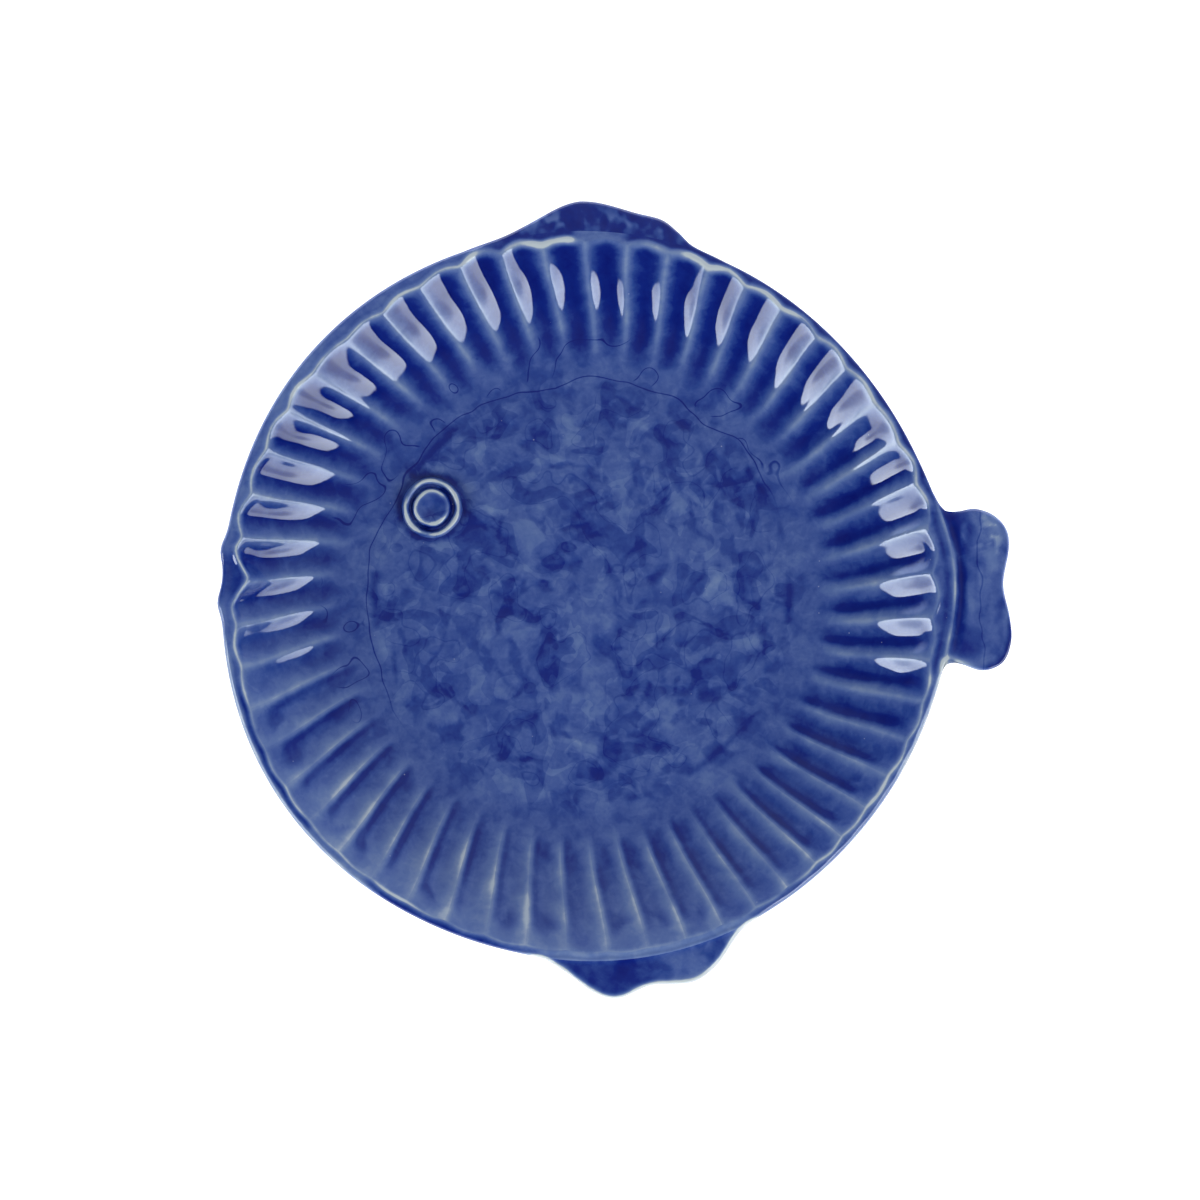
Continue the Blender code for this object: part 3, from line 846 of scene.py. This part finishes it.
# Fins and tail
def fin_glaze_and_light(x, y, distance):
    """Glaze of the fins and the tail: mottled, streaked on the tail, and pooled at its root and lower tip,
    with the outer edge's painted highlight.
    """
    angle = np.arctan2(y, x)
    past_rim = np.hypot(x, y) - rim_radius(angle)
    ventral = on_ventral(angle)
    dorsal = on_dorsal(angle)
    tail = 1.0 - np.maximum(ventral, dorsal)
    right = rise(turn_from(angle, VENTRAL_ANGLE), -0.02, 0.12)
    lumps = np.clip(2.4 * deck_relief(x, y), -1.0, 1.0)
    mottles = clouds(0.7 * x, y, 0.0042, 2.9) + 0.7 * clouds(x, y, 0.0020, 12.7)
    mottles = dorsal * np.clip(2.0 * mottles + 0.2, -1.0, 1.0) * bell(past_rim - 0.0035, 0.0034)
    streaks = clouds(x, 0.25 * y, 0.0022, 5.9)
    flecks = rise(clouds(x, y, 0.0022, 8.8), 0.1, 0.3) * bell(from_point(x, y, TAIL_FLECKS), 0.0065)
    lower_tip = rise(-y, 0.004, 0.006) * rise(x, 0.117, 0.004)
    thin_and_lit = edge_thin_and_highlight(distance, x, y) + rib_thin(past_rim, x, y, on(angle, BEHIND_TAIL))
    thin_and_lit += 0.62 * positive(mottles) + (0.16 * ventral + 0.14 * tail) * positive(lumps)
    thin_and_lit += tail * (0.05 * rise(past_rim, 0.003, 0.005) + 0.26 * positive(streaks) + 0.45 * flecks)
    pooled_and_shaded = 0.70 * dorsal + 0.3 * positive(-mottles) + ventral * (0.58 - 0.50 * right)
    pooled_and_shaded += (0.25 * ventral + 0.35 * tail) * positive(-lumps)
    pooled_and_shaded += tail * (0.85 * bell(past_rim - 0.0018, 0.0015) + 0.6 * positive(-streaks))
    pooled_and_shaded += 0.9 * tail * lower_tip * bell(distance - 0.0006, 0.0012)
    pooled_and_shaded += 0.5 * tail * bell(from_point(x, y, TAIL_POOL), 0.0040)
    return thin_and_lit, pooled_and_shaded


def make_fin(name, node, root, edge, material):
    """A fin or the tail, from its root on the rim to its free edge, above and back below."""
    skin = Skin()
    tops = []
    unders = []
    for share in FIN_SHARES:
        x, y = (root + share * (edge - root)).T
        distance = edge_distance(x, y) if share < 1.0 else np.zeros_like(x)
        top = deck_height(x, y) - edge_drop(distance, x, y)
        under = np.minimum(RIM_BOTTOM + under_rise(distance), top - EDGE_LEAST)
        tops.append(skin.add(x, y, top, *fin_glaze_and_light(x, y, distance)))
        unders.append(skin.add(x, y, under, 0.1))
    rows = [*tops, *reversed(unders), tops[0]]
    for first, second in zip(rows[:-1], rows[1:]):
        skin.faces += np.stack([first[:-1], first[1:], second[1:], second[:-1]], axis=-1).tolist()
    skin.piece(name, node, "blue_glaze", material)


def make_rim_fin(name, node, centre, edge, material):
    angle = centre + np.linspace(edge[0][0], edge[-1][0], FIN_COLUMNS) / RIM_RADIUS
    rim = rim_radius(angle)
    free = polar(rim + fin_reach(angle, centre, edge), angle)
    make_fin(name, node, polar(rim, angle), free, material)


def make_tail(material):
    angle = np.linspace(TAIL_FIRST, TAIL_LAST, FIN_COLUMNS)
    root = polar(rim_radius(angle), angle)
    make_fin("glazed_tail", "tail_fin", root, spaced(TAIL_LINE, FIN_COLUMNS), material)


# Eye and foot
def turned(profile, centre, wobble, closed):
    """Skin of a turned piece. Each point of the profile has a radius, a height and the glaze's two values."""
    skin = Skin()
    angle = np.arange(EYE_STEPS) * math.tau / EYE_STEPS
    rings = []
    for radius, height, thin_and_lit, pooled_and_shaded in profile:
        x, y = polar(np.full(EYE_STEPS, radius), angle).T
        x = x + centre[0]
        y = y + centre[1]
        sway = wobble * clouds(x, y, 0.006, 4.4)
        thin_and_lit = thin_and_lit * (0.90 + 0.9 * clouds(x, y, 0.0050, 2.2))
        pooled_and_shaded = pooled_and_shaded + 0.45 * clouds(x, y, 0.0030, 8.1)
        rings.append(skin.add(x + sway, y - sway, height + 0.6 * sway, thin_and_lit, pooled_and_shaded))
    for first, second in zip(rings[:-1], rings[1:]):
        skin.join(first, second)
    if closed:
        skin.join(rings[-1], rings[0])
    else:
        skin.cap(rings[0], skin.add(*centre, *profile[0][1:])[0], True)
        skin.cap(rings[-1], skin.add(*centre, profile[-1][1])[0], False)
    return skin


def make_eye_ring(material):
    """A coil of clay, bedded on the floor."""
    bed = FLOOR_HEIGHT - EYE_BED
    profile = []
    for turn in np.linspace(0.0, math.pi, 15):
        lift = math.sin(turn)
        height = bed + (RING_HIGH.z - bed) * lift**0.8
        thin_and_lit = 1.4 * bell(turn - math.pi / 2, 0.40)
        profile.append((COIL_RADIUS - COIL_HALF * math.cos(turn), height, thin_and_lit, 0.5 * (1.0 - lift)))
    skin = turned(profile, EYE_PLACE, EYE_WOBBLE, True)
    skin.piece("glazed_eye_ring", "eye_ring", "blue_glaze", material)


def make_eye_pupil(material):
    """A button of clay with a raised edge and a hollow middle."""
    top = PUPIL_HIGH.z
    bed = FLOOR_HEIGHT - EYE_BED
    profile = []
    for share in np.linspace(0.12, 1.0, 10):
        height = top - PUPIL_HOLLOW * (1.0 - ease(share))
        profile.append((PUPIL_RADIUS * share, height, 1.3 * bell(1.0 - share, 0.13), 0.25))
    for turn in np.linspace(0.0, math.pi / 2, 8)[1:]:
        out = math.sin(turn)
        height = bed + (top - bed) * math.cos(turn)
        profile.append((PUPIL_RADIUS + PUPIL_SIDE * out, height, 1.3 * bell(turn, 0.38), 0.5 * out))
    skin = turned(profile, EYE_PLACE, EYE_WOBBLE, False)
    skin.piece("glazed_eye_pupil", "eye_pupil", "blue_glaze", material)


def make_foot(material):
    """The foot ring, with its standing face wiped clean of glaze."""
    outer = (FOOT_HIGH.x - FOOT_LOW.x) / 2
    inner = outer - FOOT_WIDTH
    top = UNDER_HEIGHT + 0.0004
    side = [(0.0006, top), (0.0, top - 0.0010), (-0.0007, 0.0022)]
    for turn in np.linspace(0.0, math.pi / 2, 6):
        side.append((FOOT_CORNER * math.cos(turn) - FOOT_TAPER, FOOT_CORNER * (1.0 - math.sin(turn))))
    profile = [(outer + out, height, 0.0, 0.0) for out, height in side]
    profile += [(inner - out, height, 0.0, 0.0) for out, height in reversed(side)]
    turned(profile, (0.0, 0.0), 0.0, True).piece("clay_foot", "foot_ring", "bare_clay", material)


# Materials
class Nodes:
    """Short way to build a tree of shader nodes, with coordinates to start from."""

    def __init__(self, tree, coordinates):
        self.tree = tree
        self.place = self.make("TexCoord", coordinates, {})

    def make(self, kind, output, inputs, **settings):
        """Adds a node, fills its inputs and returns one of its outputs."""
        node = self.tree.nodes.new("ShaderNode" + kind)
        for name, value in settings.items():
            setattr(node, name, value)
        self.fill(node, inputs)
        return node.outputs[output]

    def fill(self, node, inputs):
        """Links each input to an output of another node, or sets it to a number, vector or colour."""
        for name, value in inputs.items():
            target = node.inputs[name]
            if isinstance(value, bpy.types.NodeSocket):
                self.tree.links.new(value, target)
            elif target.type == "RGBA":
                target.default_value = (*value, 1.0)
            else:
                target.default_value = value

    def attribute(self, name):
        return self.make("Attribute", "Fac", {}, attribute_name=name)

    def noise(self, size, detail, distortion=0.0):
        """Noise whose lumps are about that many metres across."""
        inputs = {"Vector": self.place, "Scale": 1.0 / size, "Detail": detail, "Distortion": distortion}
        return self.make("TexNoise", "Fac", inputs)

    def math(self, operation, first, second=0.0):
        return self.make("Math", "Value", {0: first, 1: second}, operation=operation)

    def plus(self, first, second):
        return self.math("ADD", first, second)

    def minus(self, first, second):
        return self.math("SUBTRACT", first, second)

    def times(self, first, second):
        return self.math("MULTIPLY", first, second)

    def apart(self, first, second):
        """How far apart two values are."""
        return self.math("ABSOLUTE", self.minus(first, second))

    def scaled(self, value, low, high, to_low, to_high, course="LINEAR"):
        """Maps one span of values onto another."""
        inputs = {"Value": value, "From Min": low, "From Max": high, "To Min": to_low, "To Max": to_high}
        return self.make("MapRange", "Result", inputs, interpolation_type=course)

    def eased(self, *spans):
        """The same with a soft start and end."""
        return self.scaled(*spans, "SMOOTHSTEP")

    def wavering(self, value, size, detail, sway):
        """A value that sways both ways by that much, in lumps of that size."""
        return self.plus(value, self.scaled(self.noise(size, detail), 0.3, 0.7, -sway, sway))

    def measured(self, operation, vector):
        """Measures the coordinates against a fixed vector."""
        return self.make("VectorMath", "Value", {0: self.place, 1: vector}, operation=operation)

    def along(self, direction):
        """How far the coordinates reach along a direction."""
        return self.measured("DOT_PRODUCT", direction)

    def lit(self, light, value, tint):
        """Light with more of it added, in a tint."""
        return self.make("VectorMath", "Vector", {0: value, 1: tint, 2: light}, operation="MULTIPLY_ADD")

    def ramp(self, value, stops):
        colour = self.make("ValToRGB", "Color", {"Fac": value})
        elements = colour.node.color_ramp.elements
        for element, (place, tone) in ((elements[0], stops[0]), (elements[1], stops[-1])):
            element.position = place
            element.color = (*tone, 1.0)
        for place, tone in stops[1:-1]:
            elements.new(place).color = (*tone, 1.0)
        return colour

    def mix(self, share, first, second):
        return self.make("Mix", "Result", {"Factor": share, "A": first, "B": second}, data_type="RGBA")

    def bump(self, height, distance, strength):
        return self.make("Bump", "Normal", {"Height": height, "Distance": distance, "Strength": strength})


def new_material(name, looks):
    """A material whose shader's inputs are given by a function of its nodes."""
    material = bpy.data.materials.new(name)
    material.use_nodes = True
    nodes = Nodes(material.node_tree, "Object")
    nodes.fill(material.node_tree.nodes["Principled BSDF"], looks(nodes))
    return material


# Colour of the glaze by its thickness, which also carries painted light and shade, and that of the clay by
# its grain
GLAZE_STOPS = (
    (0.00, (0.45, 0.47, 0.46)),
    (0.14, (0.18, 0.23, 0.345)),
    (0.28, (0.100, 0.148, 0.304)),
    (0.44, (0.053, 0.089, 0.256)),
    (0.60, (0.020, 0.048, 0.208)),
    (0.78, (0.0024, 0.0130, 0.150)),
    (1.00, (0.0003, 0.0045, 0.110)),
)
CLAY_STOPS = (
    (0.30, (0.42, 0.33, 0.24)),
    (0.50, (0.60, 0.51, 0.40)),
    (0.72, (0.72, 0.64, 0.53)),
)
SPECK_COLOUR = (0.40, 0.43, 0.47)
SPECKS_PER_METRE = 210.0
FOOT_GLAZE = (0.010, 0.026, 0.146)
FOOT_GLAZE_EDGE = (0.0024, 0.0027)  # heights between which the foot's glaze begins
PLAIN_COAT = 0.51  # thickness where glaze has neither thinned nor pooled
POOLED_COAT = 0.92
THINNED_LOSS = 0.70
LINE_GAIN = 0.32
GLAZE_IOR = 1.5


def from_axis(nodes):
    """Distance from the middle of the well's floor."""
    return nodes.measured("DISTANCE", (AXIS.x, AXIS.y, FLOOR_HEIGHT))


def well_marks(nodes):
    """Crisp patches of thicker and thinner glaze on the floor of the well."""
    on_floor = nodes.scaled(from_axis(nodes), 0.061, 0.069, 1.0, 0.0)
    thick = nodes.scaled(nodes.noise(0.0120, 1.0, 0.7), 0.56, 0.575, 0.0, 0.10)
    thinned = nodes.scaled(nodes.noise(0.0085, 1.0, 0.9), 0.57, 0.585, 0.0, 0.08)
    return nodes.times(nodes.minus(thick, thinned), on_floor)


def seam_reflections_and_tail_line(nodes):
    """Painted reflections of dark seams, in fine lines along the well's border and in loops beside it, and a
    fine dark line down the tail.
    """
    radius = from_axis(nodes)
    towards = heading(120, 0)
    reach = nodes.minus(nodes.along(towards), AXIS.dot(towards))
    upper_left = nodes.eased(reach, -0.012, 0.012, 0.0, 1.0)
    off_border = nodes.apart(nodes.wavering(radius, 0.022, 2.0, 0.0020), LINE_RADIUS)
    border = nodes.times(nodes.scaled(off_border, 0.00008, 0.00026, 1.0, 0.0), upper_left)
    off_loop = nodes.apart(nodes.noise(0.0125, 1.0), 0.57)
    outside = nodes.scaled(radius, 0.0660, 0.0670, 0.0, 1.0)
    outside = nodes.times(outside, nodes.scaled(radius, 0.0770, 0.0790, 1.0, 0.0))
    outside = nodes.times(outside, upper_left)
    inside = nodes.scaled(radius, 0.0590, 0.0610, 0.28, 0.0)
    loops = nodes.times(nodes.scaled(off_loop, 0.003, 0.009, 1.0, 0.0), nodes.plus(outside, inside))
    along_tail = nodes.wavering(nodes.along((1.0, 0.0, 0.0)), 0.010, 1.0, 0.0012)
    off_tail = nodes.apart(along_tail, AXIS.x + TAIL_LINE_X)
    tail_line = nodes.scaled(off_tail, 0.00008, 0.00030, 0.55, 0.0)
    return nodes.math("MAXIMUM", nodes.math("MAXIMUM", border, loops), tail_line)


def specks(nodes):
    """Small pale specks, in some of the cells of a fine pattern."""
    distance = nodes.make("TexVoronoi", "Distance", {"Vector": nodes.place, "Scale": SPECKS_PER_METRE})
    lot = nodes.make("SeparateColor", "Red", {"Color": distance.node.outputs["Color"]})
    chosen = nodes.math("GREATER_THAN", lot, 0.72)
    return nodes.times(nodes.times(nodes.scaled(distance, 0.02, 0.055, 1.0, 0.0), chosen), 0.5)


def glaze_looks(nodes):
    """Cobalt glaze over pale clay, coloured by how thick it lies, which also carries painted light and shade.
    """
    cloudy = nodes.eased(nodes.noise(0.012, 3.0, 1.2), 0.36, 0.64, -0.5, 0.5)
    blotchy = nodes.eased(nodes.noise(0.0036, 4.0, 0.6), 0.33, 0.67, 0.0, 1.0)
    thin_and_lit = nodes.attribute("thin_and_lit")
    uneven = nodes.times(cloudy, 0.09)
    uneven = nodes.plus(uneven, nodes.scaled(blotchy, 0.0, 1.0, -0.05, 0.05))
    uneven = nodes.plus(uneven, nodes.scaled(nodes.noise(0.0011, 3.0), 0.2, 0.8, -0.035, 0.035))
    uneven = nodes.times(uneven, nodes.scaled(thin_and_lit, 0.0, 0.6, 1.0, 0.35))
    coat = nodes.scaled(nodes.attribute("pooled_and_shaded"), 0.0, 1.0, PLAIN_COAT, POOLED_COAT)
    broken = nodes.times(thin_and_lit, nodes.scaled(nodes.noise(0.0050, 3.0), 0.3, 0.7, 0.85, 1.05))
    thickness = nodes.plus(uneven, coat)
    thickness = nodes.minus(thickness, nodes.times(broken, THINNED_LOSS))
    thickness = nodes.plus(thickness, nodes.times(seam_reflections_and_tail_line(nodes), LINE_GAIN))
    thickness = nodes.plus(thickness, well_marks(nodes))
    return {
        "Base Color": nodes.mix(specks(nodes), nodes.ramp(thickness, GLAZE_STOPS), SPECK_COLOUR),
        "Roughness": nodes.scaled(blotchy, 0.0, 1.0, 0.03, 0.06),
        "IOR": GLAZE_IOR,
        "Normal": nodes.bump(nodes.noise(0.0050, 2.0), 0.00010, 0.10),
    }


def clay_looks(nodes):
    """Bare fired clay, with the glaze's lower edge on the sides of the foot."""
    grain = nodes.noise(0.0012, 5.0)
    stains = nodes.noise(0.012, 3.0)
    clay = nodes.ramp(nodes.plus(nodes.times(grain, 0.6), nodes.times(stains, 0.4)), CLAY_STOPS)
    height = nodes.wavering(nodes.along((0.0, 0.0, 1.0)), 0.009, 2.0, 0.0007)
    glazed = nodes.scaled(height, *FOOT_GLAZE_EDGE, 0.0, 1.0)
    return {
        "Base Color": nodes.mix(glazed, clay, FOOT_GLAZE),
        "Roughness": nodes.scaled(glazed, 0.0, 1.0, 0.78, 0.10),
        "Normal": nodes.bump(grain, 0.00025, 0.5),
    }


# Studio, with azimuths and elevations in degrees
FLOOR_HALF = 6.0
FLOOR_GLOW = 0.75
FLOOR_GREYS = ((0.0, (0.90, 0.90, 0.90)), (1.0, (0.93, 0.93, 0.93)))
SKY = 0.06
SKY_TINT = (0.93, 0.98, 1.06)
OVERHEAD = 0.12
OVERHEAD_PLACE = (-45, 80)  # azimuth and elevation
OVERHEAD_SPREAD = 36
SEAM_AZIMUTH = -45
SEAMS = (5.0, 24.0)  # dark seams overhead, in degrees from the zenith
BACKDROP = 3.4  # a low strip of light behind the plate
BACKDROP_AZIMUTH = 100
BACKDROP_EDGE = (4, 14)  # elevations between which it fades out
DAYLIGHT = 0.45  # above the strip
DAYLIGHT_PLACE = (70, 25)
DAYLIGHT_TINT = (0.78, 0.94, 1.30)
# Softboxes: strength, azimuth, elevation, half width and half height
SOFTBOXES = (
    (7.0, -36, 27, 22, 19.5),
    (8.4, 208, 20, 20.5, 16),
)
SOFTBOX_CORNERS = 2.8  # the higher, the squarer
SOFTBOX_TINT = (0.88, 0.96, 1.03)
CAMERA_GREY = (0.75, 0.75, 0.76)
EXPOSURE = 0.47


def floor_looks(nodes):
    return {
        "Base Color": nodes.ramp(nodes.noise(0.4, 2.0), FLOOR_GREYS),
        "Roughness": 0.9,
        "Specular IOR Level": 0.0,
        "Emission Color": (1.0, 1.0, 1.0),
        "Emission Strength": FLOOR_GLOW,
    }


def make_floor():
    mesh = bpy.data.meshes.new("studio_floor")
    corners = ((-1, -1), (1, -1), (1, 1), (-1, 1))
    mesh.from_pydata([(FLOOR_HALF * x, FLOOR_HALF * y, 0.0) for x, y in corners], [], [(0, 1, 2, 3)])
    mesh.materials.append(new_material("pale_floor", floor_looks))
    floor = placed("studio_floor", mesh)


def sky(nodes):
    """Dim sky, lighter overhead, with dark seams near the zenith."""
    spread = math.cos(math.radians(OVERHEAD_SPREAD))
    light = nodes.eased(nodes.along(heading(*OVERHEAD_PLACE)), spread, 1.0, 0.0, OVERHEAD)
    light = nodes.plus(light, SKY)
    for turn in SEAMS:
        off = nodes.apart(nodes.along(heading(SEAM_AZIMUTH, 0)), math.sin(math.radians(turn)))
        light = nodes.times(light, nodes.eased(off, 0.004, 0.009, 0.2, 1.0))
    return light


def window_light(nodes):
    """Daylight from behind the plate, strongest in a low strip."""
    low, high = (math.sin(math.radians(elevation)) for elevation in BACKDROP_EDGE)
    strip = nodes.eased(nodes.along(heading(BACKDROP_AZIMUTH, 0)), 0.3, 0.85, 0.0, BACKDROP)
    strip = nodes.times(strip, nodes.eased(nodes.along((0.0, 0.0, 1.0)), low, high, 1.0, 0.0))
    above = nodes.eased(nodes.along(heading(*DAYLIGHT_PLACE)), 0.3, 1.0, 0.0, DAYLIGHT)
    return nodes.plus(strip, above)


def softbox(nodes, strength, azimuth, elevation, half_width, half_height):
    """Light of a softbox with rounded corners, and what its dark frame leaves of the sky."""
    forward = heading(azimuth, elevation)
    side = heading(azimuth + 90, 0)
    wide, high = (math.tan(math.radians(half)) for half in (half_width, half_height))
    ahead = nodes.math("MAXIMUM", nodes.along(forward), 0.05)
    across = nodes.math("DIVIDE", nodes.along(side), ahead)
    up = nodes.math("DIVIDE", nodes.along(forward.cross(side)), ahead)
    shares = []
    for value, half in ((across, wide), (up, high)):
        share = nodes.math("ABSOLUTE", nodes.math("DIVIDE", value, half))
        shares.append(nodes.math("POWER", share, SOFTBOX_CORNERS))
    out = nodes.plus(*shares)
    from_lamp = [nodes.math("POWER", value, 2.0) for value in (across, nodes.plus(up, 0.12))]
    lamp = nodes.eased(nodes.plus(*from_lamp), 0.0, 0.035, 0.55, 1.0)
    lamp = nodes.times(lamp, nodes.scaled(up, -high, 0.3 * high, 0.40, 1.0))
    lamp = nodes.times(lamp, nodes.scaled(across, -wide, wide, 1.12, 0.68))
    glow = nodes.times(nodes.eased(out, 0.82, 1.12, strength, 0.0), lamp)
    return glow, nodes.eased(out, 1.5, 1.9, 0.1, 1.0)


def make_world():
    """All the studio's light: the sky, daylight and two softboxes."""
    world = bpy.data.worlds.new("studio")
    bpy.context.scene.world = world
    world.use_nodes = True
    nodes = Nodes(world.node_tree, "Generated")
    dim = sky(nodes)
    light = nodes.lit((0.0, 0.0, 0.0), window_light(nodes), DAYLIGHT_TINT)
    for placing in SOFTBOXES:
        glow, frame_gap = softbox(nodes, *placing)
        dim = nodes.times(dim, frame_gap)
        light = nodes.lit(light, glow, SOFTBOX_TINT)
    light = nodes.lit(light, dim, SKY_TINT)
    seen = nodes.make("LightPath", "Is Camera Ray", {})
    nodes.fill(world.node_tree.nodes["Background"], {"Color": nodes.mix(seen, light, CAMERA_GREY)})


def make_camera():
    camera = bpy.data.cameras.new("camera")
    camera.sensor_width = SENSOR
    camera.lens = SENSOR * (CAMERA_HEIGHT - CREST_HEIGHT) / VIEW_WIDTH
    made = placed("camera", camera)
    made.location = (AXIS.x + VIEW_X, AXIS.y + VIEW_Y, CAMERA_HEIGHT)
    bpy.context.scene.camera = made


def main():
    glaze = new_material("cobalt_glaze", glaze_looks)
    make_body(glaze)
    make_rim_fin("glazed_dorsal_fin", "dorsal_fin", DORSAL_ANGLE, DORSAL_EDGE, glaze)
    make_rim_fin("glazed_ventral_fin", "ventral_fin", VENTRAL_ANGLE, VENTRAL_EDGE, glaze)
    make_tail(glaze)
    make_eye_ring(glaze)
    make_eye_pupil(glaze)
    make_foot(new_material("bare_clay", clay_looks))
    make_floor()
    make_world()
    bpy.context.scene.view_settings.view_transform = "Standard"
    bpy.context.scene.view_settings.exposure = EXPOSURE
    make_camera()


main()
